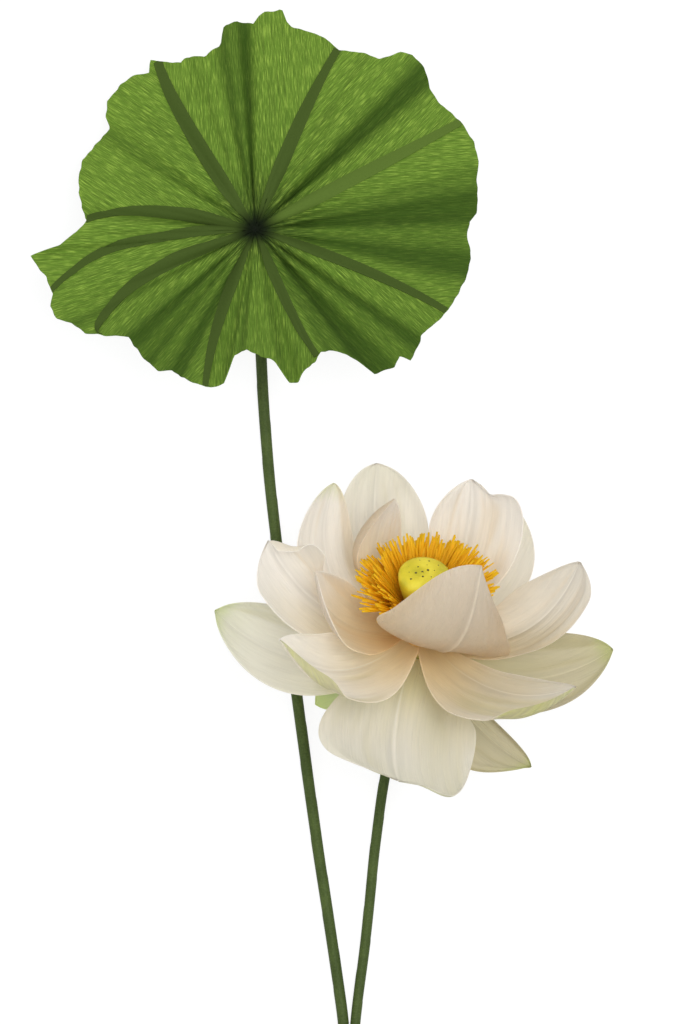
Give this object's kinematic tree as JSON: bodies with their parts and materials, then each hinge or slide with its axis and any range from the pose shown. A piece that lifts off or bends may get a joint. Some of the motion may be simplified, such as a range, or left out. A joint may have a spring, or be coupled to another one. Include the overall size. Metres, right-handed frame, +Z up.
{
  "type": "paper flower",
  "caption": "Crepe-paper lotus bloom with cupped petals, a stamen fringe and a seed pod, lying beside its pleated round leaf, both on wrapped wire stems.",
  "frame": {"origin": "on the table under the spray, in the middle of its footprint", "axes": "+X across the spray, +Y from the stem ends towards the leaf, +Z up from the table"},
  "size_m": [0.3466, 0.6572, 0.1203],
  "materials": {
    "inner_petal_paper": "matt cream crepe",
    "outer_petal_paper": "matt pale green crepe",
    "sepal_paper": "matt green crepe",
    "leaf_paper": "matt green crepe",
    "vein_paper": "smooth olive paper",
    "pod_paper": "matt yellow paper",
    "stamen_paper": "matt orange paper",
    "core_paper": "wound paper",
    "stem_tape": "waxed paper tape",
    "stem_wire": "drawn wire"
  },
  "bodies": {
    "root": {"petal_inner_front": "inner_petal_paper", "petal_inner_left": "inner_petal_paper", "petal_inner_back": "inner_petal_paper", "petal_middle_left": "inner_petal_paper", "petal_front_left": "inner_petal_paper", "petal_front_right": "inner_petal_paper", "petal_right": "inner_petal_paper", "petal_back_right": "inner_petal_paper", "petal_upper_left": "inner_petal_paper", "petal_outer_left": "outer_petal_paper", "petal_outer_front": "outer_petal_paper", "petal_outer_low_right": "outer_petal_paper", "petal_outer_right": "outer_petal_paper", "petal_outer_back_right": "outer_petal_paper", "petal_outer_back": "outer_petal_paper", "sepal_left": "sepal_paper", "sepal_front": "sepal_paper", "sepal_right": "sepal_paper", "sepal_back": "sepal_paper", "leaf_panel_1": "leaf_paper", "leaf_panel_2": "leaf_paper", "leaf_panel_3": "leaf_paper", "leaf_panel_4": "leaf_paper", "leaf_panel_5": "leaf_paper", "leaf_panel_6": "leaf_paper", "leaf_panel_7": "leaf_paper", "leaf_panel_8": "leaf_paper", "leaf_panel_9": "leaf_paper", "leaf_vein_1": "vein_paper", "leaf_vein_2": "vein_paper", "leaf_vein_3": "vein_paper", "leaf_vein_4": "vein_paper", "leaf_vein_5": "vein_paper", "leaf_vein_6": "vein_paper", "leaf_vein_7": "vein_paper", "leaf_vein_8": "vein_paper", "leaf_vein_9": "vein_paper", "seed_pod": "pod_paper", "stamen_fringe_inner": "stamen_paper", "stamen_fringe_outer": "stamen_paper", "receptacle": "core_paper", "bloom_stem_wrap": "stem_tape", "leaf_stem_wrap": "stem_tape", "stem_binding": "stem_tape", "bloom_stem_wire": "stem_wire", "leaf_stem_wire": "stem_wire"}
  },
  "joints": []
}
